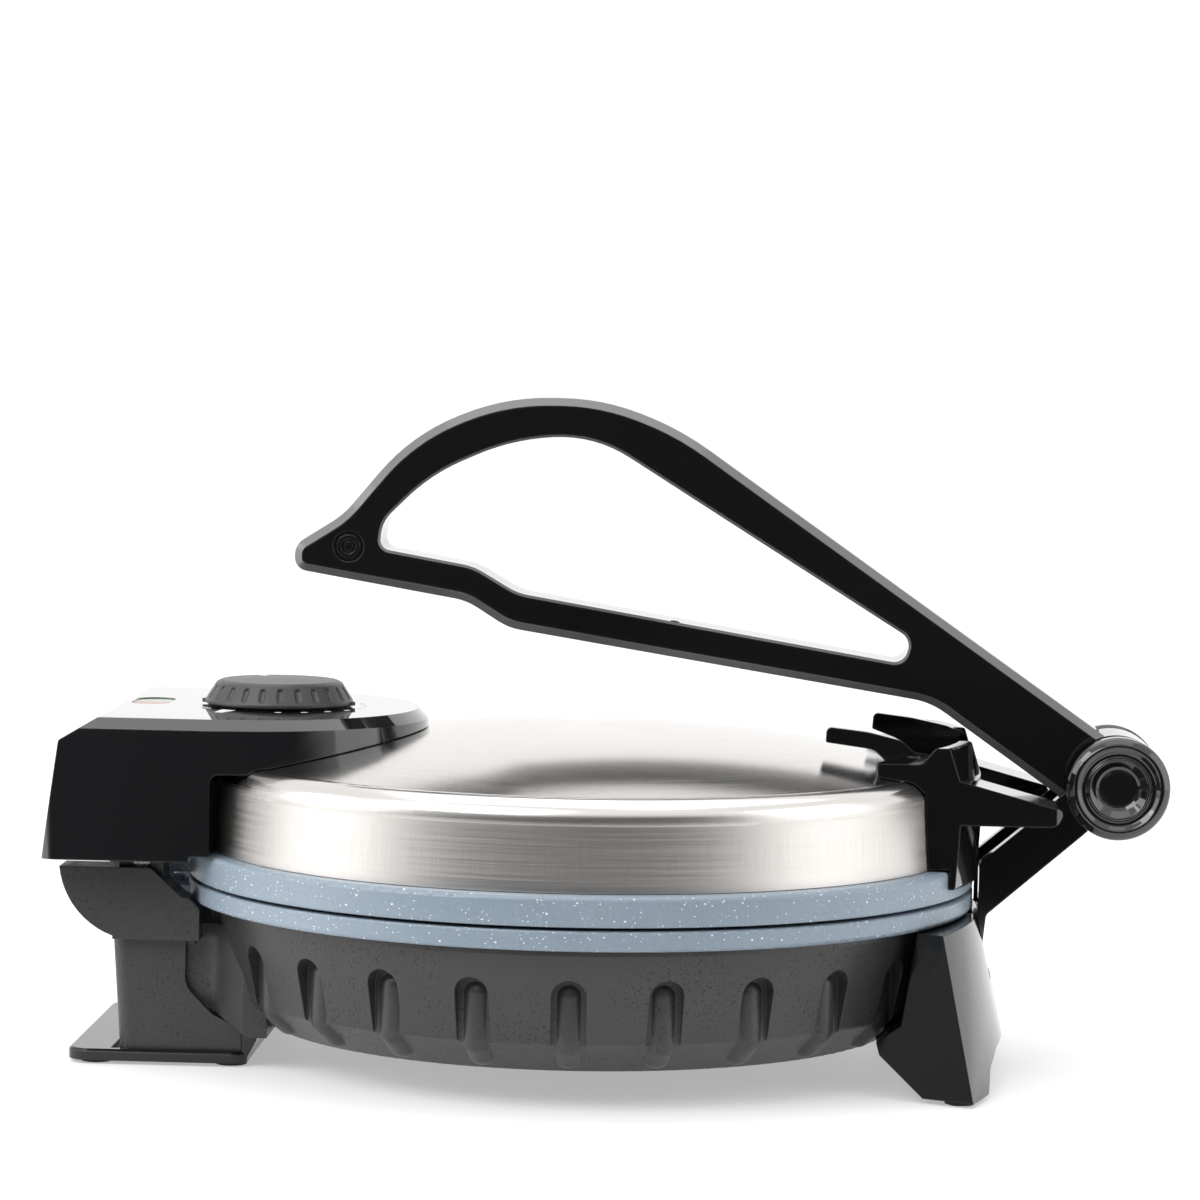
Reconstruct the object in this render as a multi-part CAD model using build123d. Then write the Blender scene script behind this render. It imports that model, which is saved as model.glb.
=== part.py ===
from build123d import *
import os
import math

# Electric roti (flatbread) maker.  Millimetres, +Z up, table at z = 0.
# +X is the front (press lever), -X the rear (hinge and control box).
# All coordinates below are written with X = 0, Y = 0 on the axis of the round
# plates; X_SHIFT moves the finished pieces so that the origin of the part is
# the centre of its footprint.

X_SHIFT = 11.275

# ---- driving dimensions -------------------------------------------------
R_PLATE = 133.0          # outer rim of the cooking plates (254 mm face)
Z_LP0, Z_LP1 = 53.8, 60.3    # lower plate, under and top face
Z_UP0, Z_UP1 = 61.4, 71.0    # upper plate, cooking face and back
R_LID = 126.8            # steel cover at its lower edge
Z_LID0 = 71.2
Z_DOME = 112.5           # crown of the steel cover
R_DOME = (117.5 ** 2 + 12.2 ** 2) / (2 * 12.2)   # its spherical radius, 12.2 mm rise over the top
R_BOWL = 126.0           # lower housing at the plate
Z_BOWL0 = 12.0           # underside of the bowl
N_FLUTE = 25
FLUTE_PHASE = 1.2
HINGE = (-143.4, 68.5)   # X, Z of the hinge axis (runs along Y)
PIVOT = (130.4, 43.0)    # X, Z of the yoke pivot
HUB = (179.6, 96.7)      # X, Z of the handle hub
R_CAP = 17.25            # roller caps on the hub
HALF_HANDLE = 13.0       # half thickness of the press handle
BEVEL = 2.6
KNOB = (-104.0, 0.0)
R_BOX = 63.0             # half width of the control box
Z_BOX = 116.4            # top of the control box
Y_CH = 24.5              # half width of the lever channel in the lid bracket
Y_BR = 52.0              # half width of the lid bracket
PIN_CLR = 0.06           # running clearance of every pivot
SEAT_CLR = 0.02          # clearance of pins held fast

out = {}


# ---- helpers --------------------------------------------------------------
def outline(pts):
    """Closed face from (u, v) or (u, v, r) corners, r being a corner radius."""
    n = len(pts)
    segs = []
    ends = []
    for i in range(n):
        p = pts[i]
        a = pts[i - 1]
        b = pts[(i + 1) % n]
        r = p[2] if len(p) > 2 else 0
        px, py = p[0], p[1]
        if r <= 0:
            ends.append(((px, py), None, (px, py)))
            continue
        ax, ay = a[0] - px, a[1] - py
        bx, by = b[0] - px, b[1] - py
        la, lb = math.hypot(ax, ay), math.hypot(bx, by)
        ax, ay, bx, by = ax / la, ay / la, bx / lb, by / lb
        ang = math.acos(max(-1, min(1, ax * bx + ay * by)))
        t = r / math.tan(ang / 2)
        lim = 0.49 * min(la, lb)
        if t > lim:
            t = lim
            r = t * math.tan(ang / 2)
        s = (px + ax * t, py + ay * t)
        e = (px + bx * t, py + by * t)
        mx, my = ax + bx, ay + by
        lm = math.hypot(mx, my)
        d = r / math.sin(ang / 2)
        c = (px + mx / lm * d, py + my / lm * d)
        m = (c[0] - mx / lm * r, c[1] - my / lm * r)
        ends.append((s, m, e))
    for i in range(n):
        s, m, e = ends[i]
        if m is not None:
            segs.append(ThreePointArc(s, m, e))
        nx = ends[(i + 1) % n][0]
        if math.hypot(nx[0] - e[0], nx[1] - e[1]) > 1e-6:
            segs.append(Line(e, nx))
    return Face(Wire(segs))


def prism_xz(face, y0, y1):
    return extrude(Plane(origin=(0, y1, 0), x_dir=(1, 0, 0), z_dir=(0, -1, 0)) * face, amount=y1 - y0, dir=(0, -1, 0))


def prism_xy(face, z0, z1):
    return extrude(Plane(origin=(0, 0, z0)) * face, amount=z1 - z0, dir=(0, 0, 1))


def prism_yz(face, x0, x1):
    return extrude(Plane(origin=(x0, 0, 0), x_dir=(0, 1, 0), z_dir=(1, 0, 0)) * face, amount=x1 - x0, dir=(1, 0, 0))


def rev(face):
    return revolve(Plane.XZ * face, Axis.Z)


def box(x0, x1, y0, y1, z0, z1):
    return Pos((x0 + x1) / 2, (y0 + y1) / 2, (z0 + z1) / 2) * Box(x1 - x0, y1 - y0, z1 - z0)


def cyl_y(x, z, r, y0, y1):
    return Pos(x, (y0 + y1) / 2, z) * Rot(90, 0, 0) * Cylinder(r, y1 - y0)


def cyl_z(x, y, r, z0, z1):
    return Pos(x, y, (z0 + z1) / 2) * Cylinder(r, z1 - z0)


def cyl_x(y, z, r, x0, x1):
    return Pos((x0 + x1) / 2, y, z) * Rot(0, 90, 0) * Cylinder(r, x1 - x0)


def whole(shape):
    """Largest solid of a shape."""
    pieces = [q for i in (shape if isinstance(shape, list) else [shape]) for q in i.solids()]
    return max(pieces, key=lambda q: q.volume)


def add(name, shape):
    out[name] = shape


def mirror_y(s):
    return mirror(s, Plane.XZ)


def dome_z(r, off=0.0):
    """Height of the cover's spherical crown at radius r, shrunk inwards by off."""
    return Z_DOME - R_DOME + math.sqrt((R_DOME - off) ** 2 - r * r)


def group(items):
    """Loose solids of one node."""
    return Compound([q for i in items for q in i.solids()])


# ---- steel cover ----------------------------------------------------------
def lid_section(off):
    """Wall, shoulder and dome edges of the cover's section, shrunk inwards by off."""
    r0, r1, rs = R_LID - off, R_LID - 1.3 - off, 117.5 - off * 0.5
    zs = dome_z(rs, off)
    b = (r1, 92.0)
    c = (rs, zs)
    m = (r1 - (r1 - rs) * 0.20, 92.0 + (zs - 92.0) * 0.70)
    return [Line((r0, Z_LID0), b), ThreePointArc(b, m, c),
            ThreePointArc(c, (rs / 2, dome_z(rs / 2, off)), (0, Z_DOME - off))]


def lid_profile(off):
    """Filled half section."""
    return Face(Wire(lid_section(off) + [Line((0, Z_DOME - off), (0, Z_LID0)), Line((0, Z_LID0), (R_LID - off, Z_LID0))]))


LID_T = 1.0
lid_solid = rev(lid_profile(0))
lid_grown = rev(lid_profile(-0.35))
lid_shell = rev(Face(Wire(lid_section(0) + [Line((0, Z_DOME), (0, Z_DOME - LID_T))] + lid_section(LID_T) + [Line((R_LID - LID_T, Z_LID0), (R_LID, Z_LID0))])))

# ---- cooking plates -------------------------------------------------------
lower_plate = rev(outline([(0, Z_LP0 + 1.7), (112, Z_LP0 + 1.7, 1), (116, Z_LP0, 1), (R_PLATE, Z_LP0, 1.4),
                           (R_PLATE, Z_LP1, 0.7), (127.6, Z_LP1, 0.6), (127.0, Z_LP1 - 0.8, 0.4),
                           (0, Z_LP1 - 0.8)]))
upper_plate = rev(outline([(0, Z_UP0), (R_PLATE, Z_UP0, 0.7), (R_PLATE, Z_UP1, 1.6), (118.0, Z_UP1, 1.0),
                           (114.0, Z_UP1 - 2.8, 1.0), (0, Z_UP1 - 2.8)]))
# hinge lugs of the upper plate, round the pin
lug = prism_xz(outline([(-110, 62.6), (-110, 70.6, 1), (-134, 71.5, 3), (-143.4, 76.5), (-151.4, 68.5), (-143.4, 60.5), (-134, 62.6, 3)]), 23.0, 32.5)
lug = lug & box(-160, -100, 0, 60, 62.3, 80)
lug = lug + cyl_y(HINGE[0], HINGE[1], 7.6, 23.0, 32.5)
lugs = lug + mirror_y(lug)
lugs = lugs - cyl_z(0, 0, 126, 55, 90)
upper_plate = upper_plate + lugs
upper_plate = upper_plate - cyl_y(HINGE[0], HINGE[1], 3.0 + PIN_CLR, -60, 60)
# rear lugs of the lower plate, screwed to the housing
llug = prism_xy(outline([(-112.0, 9.0), (-141.0, 9.0, 2), (-141.0, 24.0, 4), (-129.0, 32.0, 3), (-112.0, 32.0)]), 55.2, 57.9)
ring_keep = cyl_z(0, 0, 114.0, 50, 70)
lower_plate = lower_plate + (llug - ring_keep) + mirror_y(llug - ring_keep)
lower_plate = lower_plate - cyl_z(-136.5, 16.5, 2.1, 50, 65) - cyl_z(-136.5, -16.5, 2.1, 50, 65)

# ---- lower housing: bowl, rear column and hinge ears -----------------------
bowl_out = rev(outline([(0, Z_BOWL0), (106.5, Z_BOWL0, 2), (119.5, 23.0, 3), (R_BOWL, 51.5, 0.8), (R_BOWL, Z_LP0 - 0.2), (0, Z_LP0 - 0.2)]))
bowl_in = rev(outline([(0, Z_BOWL0 + 3), (104.6, Z_BOWL0 + 3, 2), (114.6, 24.5, 3), (116.2, 45.0, 3), (122.6, 49.5, 1), (122.8, Z_LP0 + 1), (0, Z_LP0 + 1)]))
column_o = prism_xz(outline([(-153.2, 42.0), (-150.6, 3.4), (-109.5, 3.4), (-109.5, 12.5, 2), (-119.5, 17.0, 7), (-128.6, 26.5, 8), (-128.4, 42.0)]), -46.0, 46.0)
column_o = fillet(column_o.edges().filter_by(Axis.Y, reverse=True).filter_by(lambda e: e.length > 30 and abs(e.center().X + 151.9) < 0.6), 4.5)
neck = prism_xy(outline([(-131.0, -42.5), (-119.5, -42.5, 9), (-108.0, -56.0), (-100.0, -56.0), (-100.0, 56.0), (-108.0, 56.0), (-119.5, 42.5, 9), (-131.0, 42.5)]), 11.0, 47.0)
neck = neck & prism_xz(outline([(-131.0, 47.0), (-131.0, 27.0), (-126.0, 21.0, 6), (-106.0, 11.2), (-90.0, 11.2), (-90.0, 47.0)]), -70, 70)
neck = neck - box(-132.0, -124.8, -38.0, 38.0, 26.0, 39.0)
shelf = prism_xz(outline([(-151.5, 40.0), (-125.5, 40.0), (-125.5, 44.0), (-152.5, 44.0)]), -44.5, 44.5)
column_i = prism_xz(outline([(-150.0, 39.0), (-147.6, 2.0), (-112.0, 2.0), (-112.0, 9.0), (-121.0, 13.6), (-131.4, 24.0), (-131.4, 39.0)]), -43.0, 43.0)
bowl = bowl_out + column_o
bowl = bowl + (neck - bowl_in) + shelf
bowl = bowl - bowl_in
bowl = bowl - column_i
bowl = bowl - box(-134.0, -108.0, -8.0, 8.0, 18.0, 34.0)
EAR_R = 26.3
ear_pts = [(-129.4, 56.2, 2), (-139.8, 65.8, 1.5), (-143.4, 65.8)]
ear_face = outline([(-123.5, 43.0), (-123.5, 52.6, 2), (-127.2, 56.2, 1), (-129.4, 56.2, 1), (-139.8, 65.9, 1.0), (-175.0, 65.9), (-175.0, 43.0)])
ears = []
for s in (1, -1):
    y0, y1 = (36.0, 50.0) if s > 0 else (-50.0, -36.0)
    e = prism_xz(ear_face, y0, y1) & cyl_y(HINGE[0], HINGE[1], EAR_R + 0.7, y0, y1)
    e = e + prism_xz(outline([(-123.5, 43.0), (-123.5, 52.6, 2), (-127.2, 56.2, 1), (-129.4, 56.2, 1), (-139.8, 65.9, 1.0), (-146.0, 65.9), (-151.0, 43.0)]), y0, y1)
    # ear foot over the column
    e = e + prism_xz(outline([(-152.4, 42.0), (-123.5, 42.0), (-123.5, 45.0), (-152.4, 45.0)]), y0, y1)
    # pin boss
    b0, b1 = (35.0, 47.0) if s > 0 else (-47.0, -35.0)
    boss = cyl_y(HINGE[0], HINGE[1], 7.4, b0, b1) + prism_xz(outline([(-150.8, 50.0), (-136.0, 50.0), (-136.0, 68.5), (-150.8, 68.5)]), b0, b1)
    e = e + boss
    ears.append(e - cyl_z(0, 0, R_PLATE + 0.45, Z_LP0 - 0.15, 90))
for e in ears:
    bowl = bowl + e
bowl = bowl - cyl_y(HINGE[0], HINGE[1], 3.0 + SEAT_CLR, -49.0, 49.0)
# floor bosses for the lower plate's rear screws
for s in (1, -1):
    bowl = bowl - cyl_z(-136.5, s * 16.5, 1.6, 40.0, 60.0)
# bottom opening with a rebate for the cover disc
bowl = bowl - cyl_z(0, 0, 86.0, 5, 16) - cyl_z(0, 0, 96.5, 5, 13.6)
# flutes: an upright rounded rib standing in a round-topped recess, proud of the skirt at its foot
RIB_R = 119.8
pocket = prism_yz(outline([(-5.6, 15.0), (5.6, 15.0), (5.6, 43.5, 5.5), (-5.6, 43.5, 5.5)]), 118.4, 130.0)
RIB_W = 5.6
rib_c = RIB_R - RIB_W
slope = math.atan2(23.0 - Z_BOWL0, 119.5 - 106.5)
foot = (rib_c - 6.0 * math.cos(slope), 23.0 - 6.0 * math.sin(slope))
rib = Pos(rib_c, 0, 30.3) * Cylinder(RIB_W, 14.6)
rib = rib + Pos(rib_c, 0, 37.6) * Sphere(RIB_W) + Pos(rib_c, 0, 23.0) * Sphere(RIB_W) + Pos(foot[0], 0, foot[1]) * Sphere(RIB_W)
rib = rib + Pos((rib_c + foot[0]) / 2, 0, (23.0 + foot[1]) / 2) * Rot(0, 90 - math.degrees(slope), 0) * Cylinder(RIB_W, 6.0)
rib = rib - bowl_in
pockets, ribs = [], []
for i in range(N_FLUTE):
    az = -90 + FLUTE_PHASE + i * 360.0 / N_FLUTE
    azn = (az + 180) % 360 - 180
    if abs(azn) < 27 or abs(azn) > 152:
        continue
    pockets.append(Rot(0, 0, azn) * pocket)
    ribs.append(Rot(0, 0, azn) * rib)
bowl = bowl - pockets
bowl = bowl + ribs

# ---- front leg: flared arc-shaped stand with the yoke slot ------------------
PX, PZ = PIVOT


def leg_loft(t, top, bottom):
    """Solid flared block with one sharp ridge per side, walls moved inwards by t."""
    def section(xr, yr, xm, z):
        x, y = xr - 0.592 * t, yr - 1.412 * t
        yb = y - (x - 92.0) * 0.4986
        return Pos(0, 0, z) * Face(Wire([ThreePointArc((x, -y), (xm - t, 0), (x, y)), Line((x, y), (92.0, yb)),
                                         Line((92.0, yb), (92.0, -yb)), Line((92.0, -yb), (x, -y))]))
    return loft([section(130.6, 89.3, 146.0, bottom), section(120.4, 73.5, 135.0, top)])


# side profile: rear edge follows the bowl, then slopes down to the feet
leg_side = prism_xz(outline([(113.4, 60.0), (107.6, 23.6), (99.7, 17.7, 1.0), (100.8, 13.7, 1.0), (116.2, 0.3), (116.2, -5.0), (160.0, -5.0), (160.0, 60.0)]), -100, 100)
leg_side_i = prism_xz(outline([(116.6, 70.0), (111.0, 22.0), (104.4, 17.0), (104.8, 14.9), (119.6, 2.0), (119.6, -8.0), (165.0, -8.0), (165.0, 70.0)]), -100, 100)
leg = (leg_loft(0, 53.2, 1.6) & leg_side) - (leg_loft(3.2, 60.0, -4.0) & leg_side_i)
# top flange closing the hollow under the plate rim
flange = leg_loft(0.0, 53.2, 1.6) & leg_side & box(92, 145, -80, 80, 50.2, 53.2)
leg = leg + flange
# ribs either side of the slot carry the pivot pin
for s in (1, -1):
    y0, y1 = (20.7, 25.2) if s > 0 else (-25.2, -20.7)
    rb = prism_xz(outline([(114.0, 28.0), (141.5, 28.0), (141.5, 53.0), (114.0, 53.0)]), y0, y1)
    leg = leg + (rb & leg_loft(0.15, 53.2, 1.6))
leg = leg - box(112.0, 160.0, -20.5, 20.5, 31.0, 60.0)
leg = leg - cyl_y(PX, PZ, 4.0 + SEAT_CLR, -24.0, 24.0)
# bowl sits inside the leg
bowl_clear = rev(outline([(0, Z_BOWL0 - 0.1), (106.5, Z_BOWL0 - 0.1, 2), (119.75, 22.8, 3), (R_BOWL + 0.25, 51.5), (R_BOWL + 0.25, 70), (0, 70)]))
leg = leg - bowl_clear
for az in (-90 + FLUTE_PHASE + 4 * 360.0 / N_FLUTE,):
    leg = leg - Rot(0, 0, az) * box(100.0, 121.0, -6.0, 6.0, 10.0, 46.0)
# arch between the feet
leg = leg - prism_yz(outline([(-71.0, -3.0), (-71.0, 1.0), (-60.0, 8.5, 8), (-42.0, 12.3, 12), (42.0, 12.3, 12), (60.0, 8.5, 8), (71.0, 1.0), (71.0, -3.0)]), 80, 170)
front_leg = whole(leg)

pads = []
for s in (1, -1):
    p = prism_xy(outline([(120.6, s * 77.5, 2), (132.6, s * 76.0, 2), (130.2, s * 83.4, 3), (124.6, s * 84.2, 2)]), 0.0, 6.0)
    pads.append(p)
block = []
for s in (1, -1):
    bl = box(112.0, 140.0, min(s * 72, s * 92), max(s * 72, s * 92), 3.4, 7.0) & leg_loft(1.0, 53.2, 1.6) & leg_side
    block.append(bl - bowl_clear)
for b_ in block:
    front_leg = front_leg + b_
for p in pads:
    front_leg = front_leg - p

# ---- rear foot cover -------------------------------------------------------
rear_cover = prism_xy(outline([(-167.6, -49.2, 7), (-107.6, -49.2, 5), (-107.6, 49.2, 5), (-167.6, 49.2, 7)]), 1.2, 5.0)
rear_cover = chamfer(rear_cover.edges().group_by(Axis.Z)[-1], 0.8)
rear_cover = rear_cover - prism_xz(outline([(-153.0, 3.4), (-150.55, 3.3), (-109.35, 3.3), (-109.35, 9.0), (-153.0, 9.0)]), -46.05, 46.05)
# sloping lip across the front end of the cover
lip = prism_xz(outline([(-109.3, 2.0), (-109.3, 10.9, 0.8), (-103.4, 10.9, 1.6), (-107.4, 3.2, 1.5), (-107.9, 2.0)]), -47.0, 47.0)
lip = lip & prism_xy(outline([(-109.3, -47.0), (-103.0, -47.0, 3), (-103.0, 47.0, 3), (-109.3, 47.0)]), 0.0, 14.0)
rear_cover = rear_cover + lip
rear_pads = []
for s in (1, -1):
    rear_pads.append(cyl_z(-158.5, s * 41.0, 5.2, 0.0, 1.2))
    rear_pads.append(cyl_z(-113.5, s * 41.0, 5.2, 0.0, 1.2))

add("lower_housing", bowl)
add("lower_plate", lower_plate)
add("upper_plate", upper_plate)
add("lid_shell", lid_shell)
add("front_leg", front_leg)
add("rear_foot_cover", rear_cover)

# ---- lid bracket: twin guide arms, curved ridge and hooked skirt -------------
ridge = rev(outline([(121.5, 100.0), (121.5, 106.2), (124.4, 106.2, 2.5), (128.6, 111.6, 1.2), (132.8, 111.6, 1.0), (136.0, 101.0), (136.0, 98.0), (125.9, 90.0)]))
skirt = rev(outline([(125.95, 71.7), (133.45, 71.7), (133.45, 65.2), (135.3, 65.2, 0.8), (136.4, 84.0), (136.4, 99.0), (118.0, 99.0), (118.0, 92.0), (125.95, 90.0)]))
arm = prism_xz(outline([(120.0, 86.4), (157.5, 86.4, 4.0), (160.6, 91.8, 2.0), (154.6, 93.3, 2.5), (122.5, 101.9), (118.0, 106.2), (112.0, 98.0)]), Y_CH, Y_BR)
arm = arm - (prism_xy(outline([(150.0, 60.0), (165.0, 60.0), (165.0, 44.0)]), 80, 100) - prism_xy(outline([(140.0, 46.0), (156.8, 51.95, 7.0), (161.4, 30.0), (140.0, 30.0)]), 80, 100))
web = prism_xy(outline([(98.0, 52.0, 1.2), (98.6, 48.0, 3), (108.0, 32.0, 9), (111.0, Y_CH), (131.0, Y_CH), (121.0, 52.0)]), 90.0, 106.2)
half_br = web + (ridge & box(90, 150, Y_CH, Y_BR, 60, 130)) + (skirt & box(90, 150, Y_CH, Y_BR, 60, 130)) + arm
# the near side of the skirt ends short of the rear face of its wall
half_br = half_br - box(90, 114.4, 20, 60, 60, 97.0)
br = half_br + mirror_y(half_br)
floor = rev(outline([(104.0, 95.0), (104.0, 104.9, 1.0), (123.6, 101.2, 1.0), (125.2, 96.0)])) & box(90, 140, -Y_CH, Y_CH, 90, 120)
br = br + floor


BR_SCREWS = ((108.5, 38.0, 104.6), (108.5, -38.0, 104.6), (116.0, 13.0, 102.2), (116.0, -13.0, 102.2))


def horn(x0, x1, yc, top, bottom, sgn):
    prof = prism_xz(outline(top + bottom), yc - 14, yc + 14)
    n = 7
    lo, hi = [], []
    for i in range(n):
        t = i / (n - 1)
        x = x0 + (x1 - x0) * t
        y = yc - 5.5 * t * t
        lo.append((x, y - 2.2))
        hi.append((x, y + 2.2))
    plan = Face(Wire([Spline(*lo), Line(lo[-1], hi[-1]), Spline(*hi[::-1]), Line(hi[0], lo[0])]))
    return prof & prism_xy(plan, 90, 125)


near_horn = horn(82.0, 118.0, -23.0,
                 [(82.2, 115.4, 1.8), (96.0, 114.0, 20), (107.0, 111.6, 8), (114.5, 105.6), (118.0, 104.0)],
                 [(118.0, 97.0), (106.0, 100.5), (98.0, 108.2, 4), (82.0, 110.2, 0.8)], -1)
far_horn = horn(98.5, 130.0, 27.5,
                [(99.0, 116.0, 1.8), (112.0, 114.6, 20), (124.0, 112.4, 8), (130.5, 110.0)],
                [(130.5, 98.0), (108.0, 98.0), (108.0, 107.0, 2), (98.6, 110.4, 0.8)], 1)
br = br + near_horn + far_horn
br = br - box(100, 150, -20.2, 20.2, 104.95, 130)
br = br - lid_grown
for (x, y, zt) in BR_SCREWS:
    br = br - Pos(x, y, 0) * Rot(0, 0, 31) * cyl_z(0, 0, 1.72, 80.0, zt + 0.1)
lid_bracket = br
add("lid_bracket", lid_bracket)

# ---- control box on the rear of the lid -------------------------------------
box_side = outline([(-174.3, 69.6), (-168.8, 108.9, 1.2), (-156.4, Z_BOX, 1.0), (-40.0, Z_BOX), (-40.0, 69.6)])
def box_outline(t):
    """Plan of the control box: straight rear, half-round front, walls moved in by t."""
    r = R_BOX - t
    xr = -176.0 + t
    c = 7.0 - t * 0.7
    k = c * (1 - math.sqrt(0.5))
    e = [Line((-116.0, -r), (xr + c, -r)), ThreePointArc((xr + c, -r), (xr + k, -r + k), (xr, -r + c)),
         Line((xr, -r + c), (xr, r - c)), ThreePointArc((xr, r - c), (xr + k, r - k), (xr + c, r)),
         Line((xr + c, r), (-116.0, r)), ThreePointArc((-116.0, r), (-116.0 + r, 0), (-116.0, -r))]
    return Face(Wire(e))


cb_o = prism_xy(box_outline(0), 69.6, Z_BOX)
cb_o = chamfer(cb_o.edges().group_by(Axis.Z)[-1], 3.4)
cb_o = cb_o & prism_xz(box_side, -70, 70)
W = 2.6
cav_side = outline([(-171.9, 60.0), (-166.9, 107.6), (-155.0, Z_BOX - W), (-40.0, Z_BOX - W), (-40.0, 60.0)])
cb_i = prism_xy(box_outline(W), 60.0, Z_BOX - W) & prism_xz(cav_side, -70, 70)
step_cut = prism_xz(outline([(-125.6, 60.0), (-125.6, 71.5, 0.8), (-118.9, 71.5), (-118.9, 98.6, 3.0), (-40.0, 98.6), (-40.0, 60.0)]), -70, 70)
# inner skin along the front edge of the box sides, where it drops to the hinge line
front_wall = prism_xz(outline([(-121.5, 69.6), (-118.9, 69.6), (-118.9, 101.2), (-121.5, 101.2)]), -R_BOX + 0.6, R_BOX - 0.6)
control_box = cb_o - cb_i
control_box = control_box + (front_wall & cb_o)
control_box = control_box - step_cut
control_box = control_box - lid_grown
control_box = control_box - cyl_z(KNOB[0], KNOB[1], 4.2, 100, 125)
WIN = (-147.8, 4.5)
win_plan = outline([(WIN[0] - 6.6, WIN[1] - 13.2, 6.5), (WIN[0] + 6.6, WIN[1] - 13.2, 6.5), (WIN[0] + 6.6, WIN[1] + 13.2, 6.5), (WIN[0] - 6.6, WIN[1] + 13.2, 6.5)])
control_box = control_box - prism_xy(win_plan, 110, 125)
lens_plan = outline([(WIN[0] - 6.55, WIN[1] - 13.15, 6.45), (WIN[0] + 6.55, WIN[1] - 13.15, 6.45), (WIN[0] + 6.55, WIN[1] + 13.15, 6.45), (WIN[0] - 6.55, WIN[1] + 13.15, 6.45)])
lens_fl = outline([(WIN[0] - 7.0, WIN[1] - 14.6, 6.9), (WIN[0] + 8.0, WIN[1] - 14.6, 6.9), (WIN[0] + 8.0, WIN[1] + 14.6, 6.9), (WIN[0] - 7.0, WIN[1] + 14.6, 6.9)])
lens = prism_xy(lens_plan, 112.0, Z_BOX - 0.35) + prism_xy(lens_fl, 112.0, Z_BOX - W - 0.02)
power_lens = lens & box(-170, -130, -20, WIN[1] - 0.02, 100, 120)
ready_lens = lens & box(-170, -130, WIN[1] + 0.02, 30, 100, 120)
lamps = []
for dy in (-6.4, 6.4):
    lamps.append(cyl_z(WIN[0], WIN[1] + dy, 2.6, 101.02, 109.0) + Pos(WIN[0], WIN[1] + dy, 109.0) * Sphere(2.6))
lamp_holder = box(WIN[0] - 6.0, WIN[0] + 6.0, WIN[1] - 12.0, WIN[1] + 12.0, 97.0, 101.0)
lamp_posts = box(WIN[0] - 6.0, WIN[0] - 3.5, WIN[1] - 12.0, WIN[1] + 12.0, 101.0, 112.0)
lamp_holder = lamp_holder + lamp_posts
add("control_box", control_box)
add("power_lens", power_lens)
add("ready_lens", ready_lens)
add("indicator_lamps", group(lamps))
add("lamp_holder", lamp_holder)

# floor panel of the control box, notched round the hinge ears
fl = prism_xy(outline([(-168.5, -60.0, 3.0), (-121.7, -60.0), (-121.7, 60.0), (-168.5, 60.0, 3.0)]), 72.2, 74.2)
fl = fl - lid_grown
for s in (1, -1):
    fl = fl - box(-173.0, -135.0, min(s * 34.2, s * 51.3), max(s * 34.2, s * 51.3), 60, 80)
    fl = fl - box(-152.6, -133.0, min(s * 22.4, s * 33.2), max(s * 22.4, s * 33.2), 60, 80)
vent = []
for i in range(5):
    fl = fl - box(-166.0 + i * 6.0, -163.6 + i * 6.0, -14.0, 14.0, 60, 80)
box_floor = fl
add("control_box_floor", box_floor)

# thermostat under the knob
TX, TY = KNOB
thermostat = box(TX - 15, TX + 15, -14, 14, 104.6, 112.6) - lid_grown
thermostat = thermostat + cyl_z(TX, TY, 5.5, 110, 113.6) + cyl_z(TX, TY, 3.0, 110, 123.0)
thermostat = thermostat - box(TX + 1.8, TX + 5, -5, 5, 116.9, 130)
add("thermostat", thermostat)

# ---- knob --------------------------------------------------------------------
kn = rev(outline([(0, 116.8), (24.4, 116.8), (25.1, 117.3, 0.3), (25.1, 118.2, 0.6), (21.4, 124.2, 0.7), (19.8, 125.05, 1.6), (0, 125.6)]))
for i in range(24):
    kn = kn - Rot(0, 0, 7.5 + i * 15) * (Pos(23.72, 0, 121.46) * Rot(0, -31.7, 0) * (Cylinder(1.3, 3.2) + Pos(0, 0, -1.6) * Sphere(1.3) + Pos(0, 0, 1.6) * Sphere(1.3)))
kn = kn - cyl_z(0, 0, 18.5, 116.0, 121.5) + cyl_z(0, 0, 6.5, 117.2, 124.6)
kn = kn - cyl_z(0, 0, 3.0 + PIN_CLR, 110, 123.4)
# nibs at the skirt read against the scale
nib = prism_xy(outline([(22.5, -3.0), (27.0, 0, 0.8), (22.5, 3.0)]), 116.9, 118.2)
kn = kn + (Rot(0, 0, -179) * nib) + (Rot(0, 0, -6) * nib)
control_knob = Pos(KNOB[0], KNOB[1], 0) * kn
mark = prism_xy(outline([(12.5, -0.75, 0.4), (18.6, -0.75, 0.4), (18.6, 0.75, 0.4), (12.5, 0.75, 0.4)]), 123.9, 125.9)
crown = rev(outline([(0, 123.0), (19.2, 123.0), (19.2, 125.141), (0, 125.68)]))
mark = Pos(KNOB[0], KNOB[1], 0) * (Rot(0, 0, 118) * (mark & crown))
control_knob = control_knob - mark
add("control_knob", control_knob)
add("knob_pointer", mark)

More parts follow.
